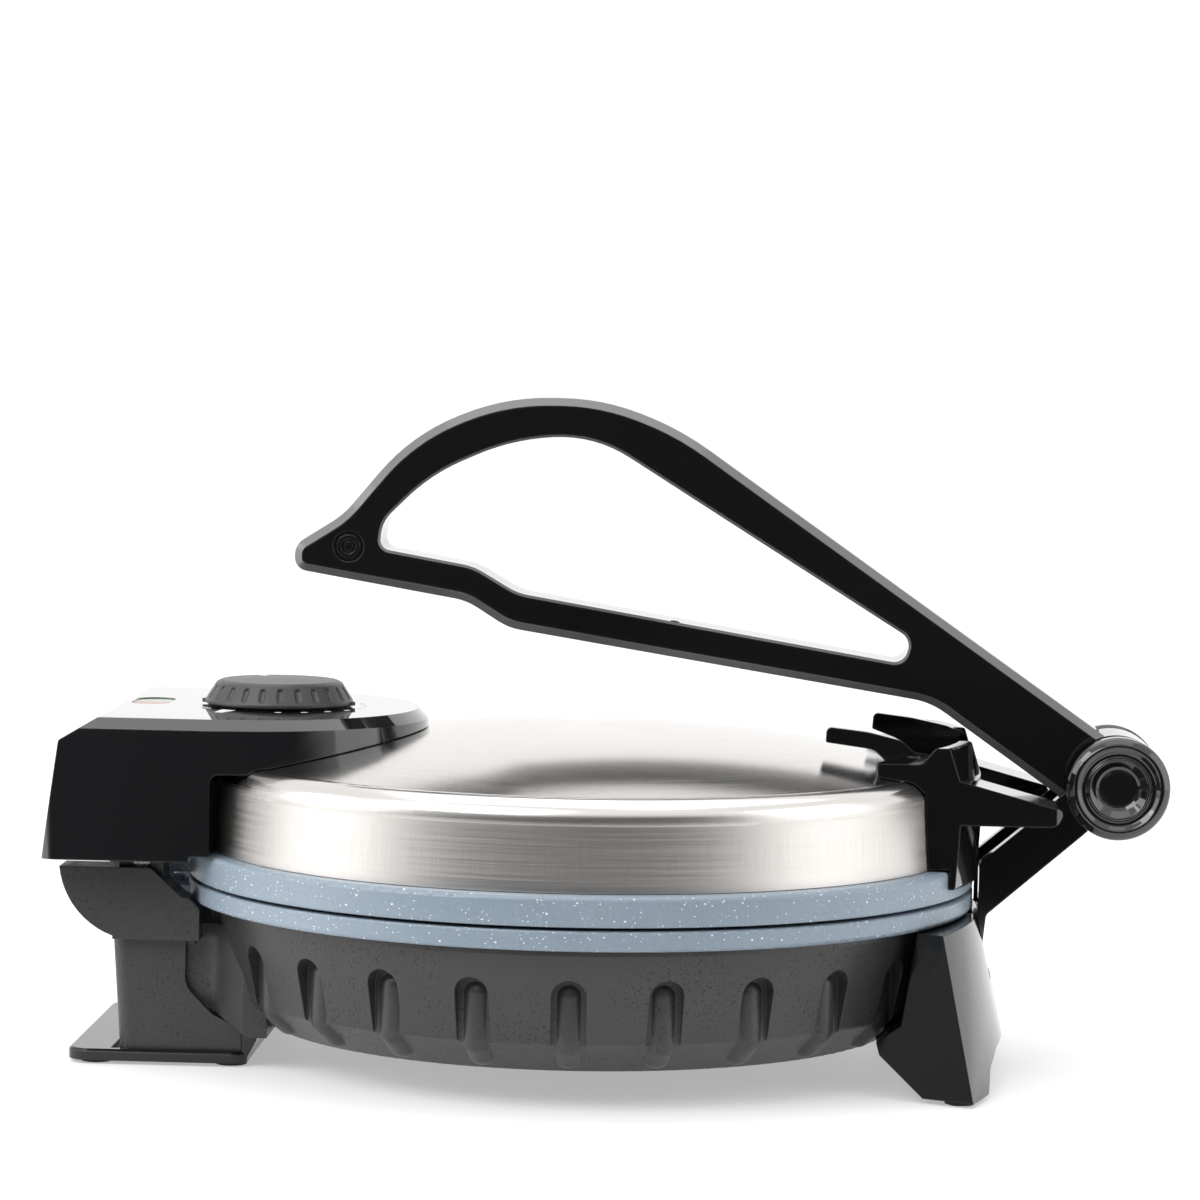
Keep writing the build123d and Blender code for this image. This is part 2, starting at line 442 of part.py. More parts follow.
# ---- yoke ----------------------------------------------------------------------
HX, HZ = HUB
yo = outline([(134.3, 53.0), (134.3, 70.2, 3.0), (148.6, 82.3), (165.6, 97.6), (HX, 104.0), (189.0, 98.0), (180.4, 91.2), (168.9, 80.6), (137.0, 52.8, 3), (136.0, 43.0), (130.4, 38.2), (127.2, 43.0), (128.8, 48.8)])
yoke_arm = prism_xz(yo, 13.4, 19.3)
yoke_arm = yoke_arm + cyl_y(HX, HZ, 12.0, 13.4, 19.3) + cyl_y(PX, PZ, 5.8, 13.4, 19.3)
web_y = prism_xz(outline([(134.8, 52.4), (137.0, 53.3), (163.0, 76.2), (160.6, 79.0), (136.4, 57.4)]), -14, 14)
pivot_tube = cyl_y(PX, PZ, 5.8, -14.0, 14.0) + prism_xz(outline([(131.0, 39.0), (135.6, 43.0), (137.0, 53.3), (134.6, 53.3), (127.8, 46.8)]), -14.0, 14.0)
yoke = yoke_arm + mirror_y(yoke_arm) + web_y + pivot_tube
yoke = yoke - cyl_y(PX, PZ, 4.0 + PIN_CLR, -30, 30) - cyl_y(HX, HZ, 5.0 + SEAT_CLR, -30, 30)
add("yoke", yoke)

cap_prof = outline([(5.0 + SEAT_CLR, 0), (R_CAP - 1.2, 0, 0.8), (R_CAP, 1.2, 0.8), (R_CAP, 5.6, 2.6), (14.4, 7.9, 1.4), (12.2, 6.2, 1.2), (10.9, 6.2, 0.6), (10.0, 7.3, 0.9), (7.4, 5.0, 1.2), (6.0, 4.3, 0.5), (5.0 + SEAT_CLR, 4.3)])
cap = revolve(Plane.XZ * cap_prof, Axis.Z) + (cyl_z(0, 0, 5.9, 4.2, 4.9) - cyl_z(0, 0, 3, 0, 3.0))
cap = cap - cyl_z(0, 0, 5.0 + SEAT_CLR, -1, 4.2)
near_cap = Pos(HX, -19.8, HZ) * Rot(90, 0, 0) * cap
far_cap = Pos(HX, 19.8, HZ) * Rot(-90, 0, 0) * cap
add("near_roller_cap", near_cap)
add("far_roller_cap", far_cap)
add("hub_axle", cyl_y(HX, HZ, 5.0, -23.9, 23.9))
add("yoke_pivot_pin", cyl_y(PX, PZ, 4.0, -23.9, 23.9))
add("hinge_pin", cyl_y(HINGE[0], HINGE[1], 3.0, -46.8, 46.8))

# ---- press handle -----------------------------------------------------------------
# outer outline: nose, bulged crown, straight run to the hub, underside
h_pts = [(-98.3, 163.6, 5.5), (-98.0, 171.9, 6.0), (-81.9, 182.2, 30.0), (-59.2, 209.6, 74.0), (-27.8, 222.9, 77.0),
         (4.8, 222.9, 80.0), (30.8, 213.4, 98.0), (179.9, 110.05), (183.0, 90.0), (172.8, 84.2),
         (117.1, 123.1, 26.0), (-25.5, 145.1, 20.0), (-39.8, 154.0, 20.0)]
w_pts = [(-69.4, 171.1, 3.6), (-68.6, 180.2, 12.0), (-52.3, 196.4, 62.0), (-25.0, 208.8, 74.0), (2.6, 210.6, 43.0),
         (110.2, 144.2, 5.0), (107.6, 135.9, 4.6), (-22.5, 157.0, 20.0), (-37.5, 165.7, 20.0)]
ho = outline(h_pts)
hw = outline(w_pts)
RH = 16.9


def handle_half(sign):
    """One moulded half, y from 0 to HALF_HANDLE, mirrored for the near side."""
    body = prism_xz(ho, 0, HALF_HANDLE)
    body = chamfer([e for e in body.edges() if abs(e.center().Y - HALF_HANDLE) < 1e-6], BEVEL)
    window = prism_xz(hw, -1, HALF_HANDLE)
    window = window + loft([Plane(origin=(0, HALF_HANDLE - 0.9, 0), x_dir=(1, 0, 0), z_dir=(0, -1, 0)) * hw,
                            Plane(origin=(0, HALF_HANDLE + 0.1, 0), x_dir=(1, 0, 0), z_dir=(0, -1, 0)) * offset(Sketch() + hw, 0.9).faces()[0]])
    body = body - window
    # hollow, with a 3 mm wall round the outline and the window
    o_in = offset(Sketch() + ho, -3.0)
    w_in = offset(Sketch() + hw, 3.0)
    pocket = prism_xz(o_in.faces()[0], -1, HALF_HANDLE - 3.2) - prism_xz(w_in.faces()[0], -2, HALF_HANDLE)
    pocket = pocket - cyl_y(HX, HZ, RH + 3.0, -2, 20)
    body = body - pocket
    # cross ribs inside the bars and screw bosses
    for (x, z) in BOSSES:
        body = body + (cyl_y(x, z, 4.4, 0, HALF_HANDLE - 3.0) & prism_xz(ho, 0, HALF_HANDLE))
    body = body + cyl_y(HX, HZ, RH, 0, HALF_HANDLE)
    body = body - cyl_y(HX, HZ, 6.5 + SEAT_CLR, -1, HALF_HANDLE + 1)
    return body if sign > 0 else mirror_y(body)


BOSSES = [(-79.8, 171.6), (-12.0, 216.3), (62.0, 183.0), (30.0, 144.4), (124.0, 133.6)]
far_half = handle_half(1)
near_half = handle_half(-1)
# round escutcheon recess on the near side of the tip, with its cover plug
bx, bz = BOSSES[0]
near_half = near_half - cyl_y(bx, bz, 5.1, -HALF_HANDLE - 1, -HALF_HANDLE + 1.0)
ring = (cyl_y(bx, bz, 3.9, -HALF_HANDLE + 0.1, -HALF_HANDLE + 1.0) - cyl_y(bx, bz, 2.5, -HALF_HANDLE - 1, -HALF_HANDLE + 1.2))
ring = ring + cyl_y(bx, bz, 3.9, -HALF_HANDLE + 0.9, -HALF_HANDLE + 1.0)
plug = cyl_y(bx, bz, 5.0, -HALF_HANDLE + 0.55, -HALF_HANDLE + 0.98) + (cyl_y(bx, bz, 3.95, -HALF_HANDLE + 0.05, -HALF_HANDLE + 0.6) - cyl_y(bx, bz, 2.5, -20, 0)) + cyl_y(bx, bz, 1.6, -HALF_HANDLE + 0.2, -HALF_HANDLE + 0.6)
add("handle_tip_plug", plug)
screws = []
for (x, z) in BOSSES:
    far_half = far_half - cyl_y(x, z, 1.7, -1, HALF_HANDLE + 1) - cyl_y(x, z, 3.3, HALF_HANDLE - 4.0, HALF_HANDLE + 1)
    near_half = near_half - cyl_y(x, z, 1.5, -HALF_HANDLE + 3.5, 1)
    sc = cyl_y(x, z, 1.45, -8.5, HALF_HANDLE - 3.9) + cyl_y(x, z, 2.9, HALF_HANDLE - 3.98, HALF_HANDLE - 1.9)
    sc = sc - box(x - 2.0, x + 2.0, HALF_HANDLE - 2.7, HALF_HANDLE, z - 0.35, z + 0.35) - box(x - 0.35, x + 0.35, HALF_HANDLE - 2.7, HALF_HANDLE, z - 2.0, z + 2.0)
    screws.append(sc)
add("handle_near_half", near_half)
add("handle_far_half", far_half)
add("handle_screws", group(screws))
bush = cyl_y(HX, HZ, 6.5, -HALF_HANDLE, HALF_HANDLE) - cyl_y(HX, HZ, 5.0 + PIN_CLR, -20, 20)
add("handle_hub_bush", bush)

# ---- heating, wiring and fasteners inside the base -----------------------------
TUBE = 3.3


def heater(z, r, gap_deg, z_end):
    """Tubular element: one open ring with two upturned or downturned cold ends."""
    half = gap_deg / 2
    ring_ = Rot(0, 0, 180 + half) * revolve(Plane.XZ * (Pos(r, z, 0) * Circle(TUBE)), Axis.Z, revolution_arc=360 - gap_deg)
    ends_ = None
    for a in (180 + half, 180 - half):
        x, y = r * math.cos(math.radians(a)), r * math.sin(math.radians(a))
        e = cyl_z(x, y, TUBE, min(z, z_end), max(z, z_end)) + Pos(x, y, z) * Sphere(TUBE)
        t = cyl_z(x, y, 1.2, min(z_end, z_end + (6 if z_end > z else -6)), max(z_end, z_end + (6 if z_end > z else -6)))
        ring_ = ring_ + e + t
    return ring_


low_heater = heater(52.15, 84.0, 34.0, 42.0)
add("lower_heating_element", low_heater)
reflector = rev(outline([(0, 33.0), (104.0, 33.0, 2.0), (110.0, 52.9), (113.5, 52.9), (113.5, 53.7), (109.2, 53.7), (103.3, 33.8, 2.0), (0, 33.8)]))
reflector = reflector - box(-92.0, -70.0, -32.0, -16.0, 30, 40) - box(-92.0, -70.0, 16.0, 32.0, 30, 40)
reflector = reflector - cyl_z(0, 0, 9.0, 30, 36)
add("heat_reflector", reflector)
cutoff = cyl_z(0, 0, 7.6, 47.5, 55.4) + cyl_z(0, 0, 5.0, 41.0, 47.5) + box(-11.0, -4.0, -2.5, 2.5, 43.0, 43.8) + box(4.0, 11.0, -2.5, 2.5, 43.0, 43.8)
add("lower_thermal_cutoff", cutoff)
top_cut = cyl_z(0, 0, 7.6, Z_UP1 + 0.02, Z_UP1 + 7.9) + cyl_z(0, 0, 5.0, Z_UP1 + 7.9, Z_UP1 + 14.4) + box(-11.0, -4.0, -2.5, 2.5, Z_UP1 + 11.6, Z_UP1 + 12.4) + box(4.0, 11.0, -2.5, 2.5, Z_UP1 + 11.6, Z_UP1 + 12.4)
add("upper_thermal_cutoff", top_cut)
tb = box(-99.0, -85.0, -17.0, 17.0, 15.02, 27.0)
tb = tb - box(-100, -84, -6.4, -4.6, 22, 30) - box(-100, -84, 4.6, 6.4, 22, 30)
add("terminal_block", tb)
gland = cyl_x(0, 22.0, 8.4, -156.4, -152.7) + cyl_x(0, 22.0, 6.4, -153.0, -146.0)
gland = gland - cyl_x(0, 22.0, 3.9, -160, -140)
add("cord_inlet_gland", gland)

# ---- remaining pieces -----------------------------------------------------------
lower_housing = bowl - cyl_x(0, 22.0, 6.4 + SEAT_CLR, -160, -140)
upper_heater = heater(Z_UP1 - 2.8 + TUBE + 0.02, 84.0, 34.0, 86.0)
add("upper_heating_element", upper_heater)
bottom_cover = cyl_z(0, 0, 96.2, 12.05, 13.55)
bottom_cover = chamfer(bottom_cover.edges().group_by(Axis.Z)[0], 0.5)
for r_, n_ in ((34.0, 8), (50.0, 12), (66.0, 16)):
    for i in range(n_):
        bottom_cover = bottom_cover - Rot(0, 0, i * 360 / n_) * (box(r_ - 4.5, r_ + 4.5, -1.6, 1.6, 5, 20))
base_screws = []
R_BS = 91.0
for a in (45, 135, 225, 315):
    x, y = R_BS * math.cos(math.radians(a)), R_BS * math.sin(math.radians(a))
    bottom_cover = bottom_cover - cyl_z(x, y, 1.7, 5, 20) - cyl_z(x, y, 3.1, 5, 12.95)
    lower_housing = lower_housing + (cyl_z(x, y, 4.6, 13.9, 22.0))
for a in (45, 135, 225, 315):
    x, y = R_BS * math.cos(math.radians(a)), R_BS * math.sin(math.radians(a))
    lower_housing = lower_housing - cyl_z(x, y, 1.52, 5, 21)
    sc = cyl_z(x, y, 1.48, 12.5, 20.5) + cyl_z(x, y, 3.0, 12.1, 12.93)
    sc = sc - box(x - 2.0, x + 2.0, y - 0.35, y + 0.35, 12.0, 12.5) - box(x - 0.35, x + 0.35, y - 2.0, y + 2.0, 12.0, 12.5)
    base_screws.append(sc)
add("bottom_cover", bottom_cover)
add("base_screws", group(base_screws))
plate_screws = []
for s in (1, -1):
    x, y = -136.5, s * 16.5
    sc = cyl_z(x, y, 1.55, 46.0, 58.2) + cyl_z(x, y, 3.3, 57.92, 59.5)
    sc = sc - box(x - 2.2, x + 2.2, y - 0.4, y + 0.4, 58.9, 61)
    plate_screws.append(sc)
add("plate_screws", group(plate_screws))
lower_housing = lower_housing + (cyl_z(-136.5, 16.5, 5.0, 42.0, 55.18) + cyl_z(-136.5, -16.5, 5.0, 42.0, 55.18) - cyl_z(0, 0, 123.0, 40, 60) - cyl_z(0, 0, R_PLATE + 0.3, Z_LP0 - 0.1, 60))
for s in (1, -1):
    lower_housing = lower_housing - cyl_z(-136.5, s * 16.5, 1.6, 45.5, 60.0)

leg_screws = []
for s in (1, -1):
    y, z = s * 22.95, 49.9
    sc = cyl_x(y, z, 1.5, 114.6, 131.4) + cyl_x(y, z, 2.7, 113.0, 115.0)
    leg_screws.append(sc)
    lower_housing = lower_housing + (box(114.9, 122.5, y - 4, y + 4, 42.0, 53.4) & bowl_out)
    lower_housing = lower_housing - cyl_x(y, z, 1.6, 100, 130) - cyl_x(y, z, 3.0, 100, 115.05)
    front_leg = front_leg - cyl_x(y, z, 1.52, 110, 132.0)
add("leg_screws", group(leg_screws))

br_screws = []
for (x, y, zt) in BR_SCREWS:
    zz = dome_z(math.hypot(x, y)) - LID_T
    sc = cyl_z(x, y, 1.7, zz - 1.0, zt) + cyl_z(x, y, 3.2, zz - 3.2, zz - 0.75)
    br_screws.append(sc)
    lid_shell = lid_shell - cyl_z(x, y, 1.9, 90, 110)
add("bracket_screws", group(br_screws))

ex, ey = 84.0 * math.cos(math.radians(197)), 84.0 * math.sin(math.radians(163))
for s in (1, -1):
    lid_shell = lid_shell - cyl_z(ex, s * ey, 2.6, 95, 115)


def wire(pts, radii, r):
    path = FilletPolyline(*pts, radius=radii)
    sec = Plane(origin=pts[0], z_dir=Vector(*pts[1]) - Vector(*pts[0])) * Circle(r)
    return sweep(sec, path=path)


up_wires, low_wires = [], []
for s in (1, -1):
    up_wires.append(wire([(ex, s * ey, 92.05), (ex, s * ey, 109.2), (-83.5, s * 9.0, 109.2), (-88.9, s * 9.0, 109.2)], [5.0, 2.5], 1.1))
    low_wires.append(wire([(ex, s * ey, 35.95), (ex, s * ey, 31.6), (-92.0, s * 11.0, 31.6), (-92.0, s * 11.0, 27.05)], [2.6, 2.0], 1.1))
add("upper_wiring", group(up_wires))
add("lower_wiring", group(low_wires))
add("front_foot_pads", group(pads))
add("rear_foot_pads", group(rear_pads))
add("lower_housing", whole(lower_housing))
add("lid_shell", whole(lid_shell))
add("lid_bracket", whole(lid_bracket))
add("front_leg", whole(front_leg))

os.makedirs("parts", exist_ok=True)
for name, shape in out.items():
    export_step(Pos(-X_SHIFT, 0, 0) * shape, "parts/" + name + ".step")
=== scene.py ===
import math
import bpy
from mathutils import Matrix, Vector


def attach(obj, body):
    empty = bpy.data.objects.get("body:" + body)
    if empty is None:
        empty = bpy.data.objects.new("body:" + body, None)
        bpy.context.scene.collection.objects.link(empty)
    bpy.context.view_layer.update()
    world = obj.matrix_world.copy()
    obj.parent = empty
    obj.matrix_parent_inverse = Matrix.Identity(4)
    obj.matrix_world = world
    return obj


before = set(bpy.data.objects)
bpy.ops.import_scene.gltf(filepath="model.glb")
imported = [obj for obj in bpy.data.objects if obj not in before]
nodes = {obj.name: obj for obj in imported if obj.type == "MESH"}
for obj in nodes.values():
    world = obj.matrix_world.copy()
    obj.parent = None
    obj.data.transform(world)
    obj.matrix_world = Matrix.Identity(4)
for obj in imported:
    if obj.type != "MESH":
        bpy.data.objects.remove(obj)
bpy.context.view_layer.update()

scene = bpy.context.scene
XS = 0.011275          # plates' axis sits this far behind the part's origin


# ---------------------------------------------------------------- node helpers
class Mat:
    """Small wrapper that builds one principled material from nodes."""

    def __init__(self, name):
        self.m = bpy.data.materials.new(name)
        self.m.use_nodes = True
        self.nt = self.m.node_tree
        self.nt.nodes.clear()
        self.out = self.new("ShaderNodeOutputMaterial")
        self.b = self.new("ShaderNodeBsdfPrincipled")
        self.link(self.b.outputs[0], self.out.inputs[0])
        self.tc = self.new("ShaderNodeTexCoord").outputs["Object"]

    def new(self, kind, **kw):
        n = self.nt.nodes.new(kind)
        for k, v in kw.items():
            setattr(n, k, v)
        return n

    def link(self, a, b):
        self.nt.links.new(a, b)

    def put(self, sock, v):
        if hasattr(v, "is_output"):
            self.link(v, sock)
        else:
            sock.default_value = v

    def math(self, op, a, b=None, c=None, clamp=False):
        n = self.new("ShaderNodeMath", operation=op, use_clamp=clamp)
        self.put(n.inputs[0], a)
        if b is not None:
            self.put(n.inputs[1], b)
        if c is not None:
            self.put(n.inputs[2], c)
        return n.outputs[0]

    def mapping(self, v, scale=(1, 1, 1), loc=(0, 0, 0), rot=(0, 0, 0)):
        n = self.new("ShaderNodeMapping")
        self.link(v, n.inputs["Vector"])
        n.inputs["Scale"].default_value = scale
        n.inputs["Location"].default_value = loc
        n.inputs["Rotation"].default_value = rot
        return n.outputs[0]

    def noise(self, scale, detail=3.0, rough=0.55, v=None, dist=0.0):
        n = self.new("ShaderNodeTexNoise")
        self.link(v or self.tc, n.inputs["Vector"])
        n.inputs["Scale"].default_value = scale
        n.inputs["Detail"].default_value = detail
        n.inputs["Roughness"].default_value = rough
        n.inputs["Distortion"].default_value = dist
        return n.outputs["Fac"]

    def voronoi(self, scale, v=None, feature="F1", rnd=1.0):
        n = self.new("ShaderNodeTexVoronoi", feature=feature)
        self.link(v or self.tc, n.inputs["Vector"])
        n.inputs["Scale"].default_value = scale
        n.inputs["Randomness"].default_value = rnd
        return n

    def ramp(self, fac, stops, interp="LINEAR"):
        n = self.new("ShaderNodeValToRGB")
        self.link(fac, n.inputs[0])
        r = n.color_ramp
        r.interpolation = interp
        while len(r.elements) < len(stops):
            r.elements.new(0.5)
        for e, (p, c) in zip(r.elements, stops):
            e.position = p
            e.color = c if len(c) == 4 else (*c, 1)
        return n.outputs[0]

    def maprange(self, v, a, b, c, d, smooth=False):
        n = self.new("ShaderNodeMapRange")
        if smooth:
            n.interpolation_type = "SMOOTHSTEP"
        self.put(n.inputs[0], v)
        for i, x in zip((1, 2, 3, 4), (a, b, c, d)):
            n.inputs[i].default_value = x
        return n.outputs[0]

    def mix(self, fac, a, b, blend="MIX"):
        n = self.new("ShaderNodeMix", data_type="RGBA", blend_type=blend)
        self.put(n.inputs[0], fac)
        self.put(n.inputs[6], a if not isinstance(a, tuple) else (*a, 1) if len(a) == 3 else a)
        self.put(n.inputs[7], b if not isinstance(b, tuple) else (*b, 1) if len(b) == 3 else b)
        return n.outputs[2]

    def bump(self, height, strength, distance=0.001, normal=None):
        n = self.new("ShaderNodeBump")
        n.inputs["Strength"].default_value = strength
        n.inputs["Distance"].default_value = distance
        self.link(height, n.inputs["Height"])
        if normal is not None:
            self.link(normal, n.inputs["Normal"])
        return n.outputs[0]

    def round_edges(self, radius, samples=4):
        n = self.new("ShaderNodeBevel", samples=samples)
        n.inputs["Radius"].default_value = radius
        return n.outputs[0]

    def edge_mask(self, bevel_normal, lo=0.0, hi=0.25):
        """0 on flat faces, 1 on sharp edges."""
        g = self.new("ShaderNodeNewGeometry")
        d = self.new("ShaderNodeVectorMath", operation="DOT_PRODUCT")
        self.link(bevel_normal, d.inputs[0])
        self.link(g.outputs["Normal"], d.inputs[1])
        one = self.math("SUBTRACT", 1.0, d.outputs["Value"])
        return self.maprange(one, lo, hi, 0.0, 1.0)

    def set(self, **kw):
        names = {"color": "Base Color", "rough": "Roughness", "metal": "Metallic", "ior": "IOR",
                 "spec": "Specular IOR Level", "aniso": "Anisotropic", "aniso_rot": "Anisotropic Rotation",
                 "coat": "Coat Weight", "coat_rough": "Coat Roughness", "trans": "Transmission Weight",
                 "normal": "Normal", "tangent": "Tangent", "sheen": "Sheen Weight", "emis": "Emission Color",
                 "emis_s": "Emission Strength", "sss": "Subsurface Weight", "alpha": "Alpha"}
        for k, v in kw.items():
            if isinstance(v, tuple) and len(v) == 3:
                v = (*v, 1)
            self.put(self.b.inputs[names[k]], v)
        return self

    def polar(self):
        """(radius, angle, height) about the plates' axis, from the part's own coordinates."""
        sep = self.new("ShaderNodeSeparateXYZ")
        self.link(self.mapping(self.tc, loc=(XS, 0, 0)), sep.inputs[0])
        x, y, z = sep.outputs
        r = self.math("SQRT", self.math("ADD", self.math("MULTIPLY", x, x), self.math("MULTIPLY", y, y)))
        a = self.math("ARCTAN2", y, x)
        return r, a, z

    def combine(self, x, y, z):
        n = self.new("ShaderNodeCombineXYZ")
        self.put(n.inputs[0], x)
        self.put(n.inputs[1], y)
        self.put(n.inputs[2], z)
        return n.outputs[0]


# ---------------------------------------------------------------- materials
def gloss_black(name, tint=(0.0040, 0.0040, 0.0044), rough=(0.07, 0.13), edge=0.0007, peel=0.04, dust=0.35, grain=0.0, coat=0.0, band=0.0):
    m = Mat(name)
    bn = m.round_edges(edge)
    mask = m.edge_mask(bn)
    flow = m.noise(9.0, 3.0, 0.5, dist=0.6)
    smudge = m.noise(38.0, 4.0, 0.6, dist=0.4)
    specks = m.voronoi(1500.0)
    sp = m.maprange(specks.outputs["Distance"], 0.05, 0.14, 1.0, 0.0)
    rare = m.maprange(m.noise(260.0, 1.0, 0.5), 0.62, 0.70, 0.0, 1.0)
    spk = m.math("MULTIPLY", m.math("MULTIPLY", sp, rare), dust)
    base = m.mix(m.maprange(flow, 0.3, 0.7, 0.0, 1.0), tint, tuple(c * 1.45 for c in tint))
    base = m.mix(m.math("MULTIPLY", mask, 0.35), base, (0.020, 0.020, 0.021))
    base = m.mix(m.math("MULTIPLY", spk, 0.22), base, (0.08, 0.08, 0.085))
    rg = m.maprange(smudge, 0.3, 0.72, rough[0], rough[1])
    rg = m.math("ADD", rg, m.math("MULTIPLY", mask, 0.08))
    rg = m.math("ADD", rg, m.math("MULTIPLY", spk, 0.25))
    h = m.math("ADD", m.math("MULTIPLY", m.noise(420.0, 2.0, 0.5), 0.25), m.math("MULTIPLY", m.noise(60.0, 2.0, 0.5), 1.0))
    if grain:
        h = m.math("ADD", h, m.math("MULTIPLY", m.noise(2600.0, 2.0, 0.6), grain))
    if band:
        # painted reflection: a light grey strip on faces that lean between the sides and the edge, standing in for the
        # bright surroundings mirrored in the bevel
        face = m.new("ShaderNodeSeparateXYZ")
        m.link(m.new("ShaderNodeTexCoord").outputs["Normal"], face.inputs[0])
        ny = m.math("ABSOLUTE", face.outputs[1])
        painted_reflection = m.math("MULTIPLY", m.maprange(ny, 0.35, 0.60, 0.0, 1.0), m.maprange(ny, 0.82, 0.94, 1.0, 0.0))
        painted_reflection = m.math("MULTIPLY", painted_reflection, m.maprange(flow, 0.25, 0.75, band * 0.55, band))
        base = m.mix(painted_reflection, base, (0.205, 0.205, 0.210))
        rg = m.math("ADD", rg, m.math("MULTIPLY", painted_reflection, 0.22))
    nrm = m.bump(h, peel, 0.0006, bn)
    return m.set(color=base, rough=rg, normal=nrm, spec=0.5, **({"coat": coat, "coat_rough": 0.03} if coat else {})).m


def housing_plastic(name):
    m = Mat(name)
    bn = m.round_edges(0.0006)
    mask = m.edge_mask(bn)
    cloud = m.noise(22.0, 4.0, 0.6, dist=0.5)
    fine = m.noise(1150.0, 2.0, 0.55)
    grit = m.noise(2300.0, 2.0, 0.6)
    base = m.mix(m.maprange(cloud, 0.3, 0.7, 0.0, 1.0), (0.029, 0.0275, 0.028), (0.039, 0.0368, 0.0375))
    # dark freckles gathered in patches, and a few pale ones
    dark = m.math("MULTIPLY", m.maprange(fine, 0.575, 0.625, 0.0, 1.0), m.maprange(m.noise(45.0, 3.0, 0.6), 0.40, 0.56, 0.15, 1.0))
    base = m.mix(m.math("MULTIPLY", dark, 0.85), base, (0.008, 0.008, 0.008))
    pale = m.maprange(grit, 0.70, 0.76, 0.0, 1.0)
    base = m.mix(m.math("MULTIPLY", pale, 0.26), base, (0.13, 0.127, 0.124))
    base = m.mix(m.math("MULTIPLY", mask, 0.28), base, (0.090, 0.088, 0.088))
    rg = m.maprange(cloud, 0.3, 0.7, 0.32, 0.42)
    rg = m.math("ADD", rg, m.math("MULTIPLY", dark, 0.15))
    h = m.math("ADD", m.math("MULTIPLY", fine, 0.5), m.math("MULTIPLY", grit, 0.4))
    nrm = m.bump(h, 0.16, 0.0004, bn)
    return m.set(color=base, rough=rg, normal=nrm, spec=0.5).m


def plate_coat(name):
    m = Mat(name)
    bn = m.round_edges(0.0006)
    mask = m.edge_mask(bn)
    r, a, z = m.polar()
    cloud = m.noise(16.0, 4.0, 0.6, dist=0.4)
    base = m.mix(m.maprange(cloud, 0.3, 0.7, 0.0, 1.0), (0.222, 0.282, 0.338), (0.262, 0.326, 0.386))
    # fine sprayed tooth
    tooth = m.noise(1400.0, 3.0, 0.6)
    base = m.mix(m.maprange(tooth, 0.35, 0.65, 0.0, 0.30), base, (0.150, 0.192, 0.235))
    # splashed white specks in two sizes
    warp = m.mapping(m.tc, scale=(1.0, 1.0, 1.25))
    v1 = m.voronoi(330.0, warp)
    s1 = m.maprange(v1.outputs["Distance"], 0.10, 0.16, 1.0, 0.0)
    pick1 = m.new("ShaderNodeSeparateColor")
    m.link(v1.outputs["Color"], pick1.inputs[0])
    s1 = m.math("MULTIPLY", s1, m.maprange(pick1.outputs[0], 0.66, 0.68, 0.0, 1.0))
    v2 = m.voronoi(620.0, warp)
    s2 = m.maprange(v2.outputs["Distance"], 0.12, 0.2, 1.0, 0.0)
    pick2 = m.new("ShaderNodeSeparateColor")
    m.link(v2.outputs["Color"], pick2.inputs[0])
    s2 = m.math("MULTIPLY", s2, m.maprange(pick2.outputs[1], 0.52, 0.54, 0.0, 1.0))
    spots = m.math("MAXIMUM", s1, s2)
    base = m.mix(m.math("MULTIPLY", spots, 0.85), base, (0.80, 0.84, 0.86))
    # turning and wiping scratches across the rim, leaning a little
    arc = m.math("ADD", m.math("MULTIPLY", a, 133.0), m.math("MULTIPLY", z, 260.0))
    streak = m.noise(6.0, 2.0, 0.6, m.combine(arc, m.math("MULTIPLY", z, 9.0), 0.0))
    patch = m.noise(0.22, 2.0, 0.5, m.combine(arc, 0.0, 7.0))
    scr = m.math("MULTIPLY", m.maprange(streak, 0.66, 0.72, 0.0, 1.0), m.maprange(patch, 0.46, 0.62, 0.15, 1.0))
    outer = m.maprange(r, 0.1318, 0.1326, 0.0, 1.0)
    scr = m.math("MULTIPLY", scr, outer)
    base = m.mix(m.math("MULTIPLY", scr, 0.7), base, (0.62, 0.69, 0.74))
    base = m.mix(m.math("MULTIPLY", mask, 0.25), base, (0.40, 0.47, 0.53))
    rg = m.maprange(cloud, 0.3, 0.7, 0.34, 0.44)
    rg = m.math("ADD", rg, m.math("MULTIPLY", spots, 0.1))
    h = m.math("ADD", m.math("MULTIPLY", tooth, 0.5), m.math("ADD", m.math("MULTIPLY", spots, 0.5), m.math("MULTIPLY", scr, -0.6)))
    nrm = m.bump(h, 0.16, 0.0003, bn)
    return m.set(color=base, rough=rg, metal=0.0, normal=nrm, coat=0.12, coat_rough=0.25).m


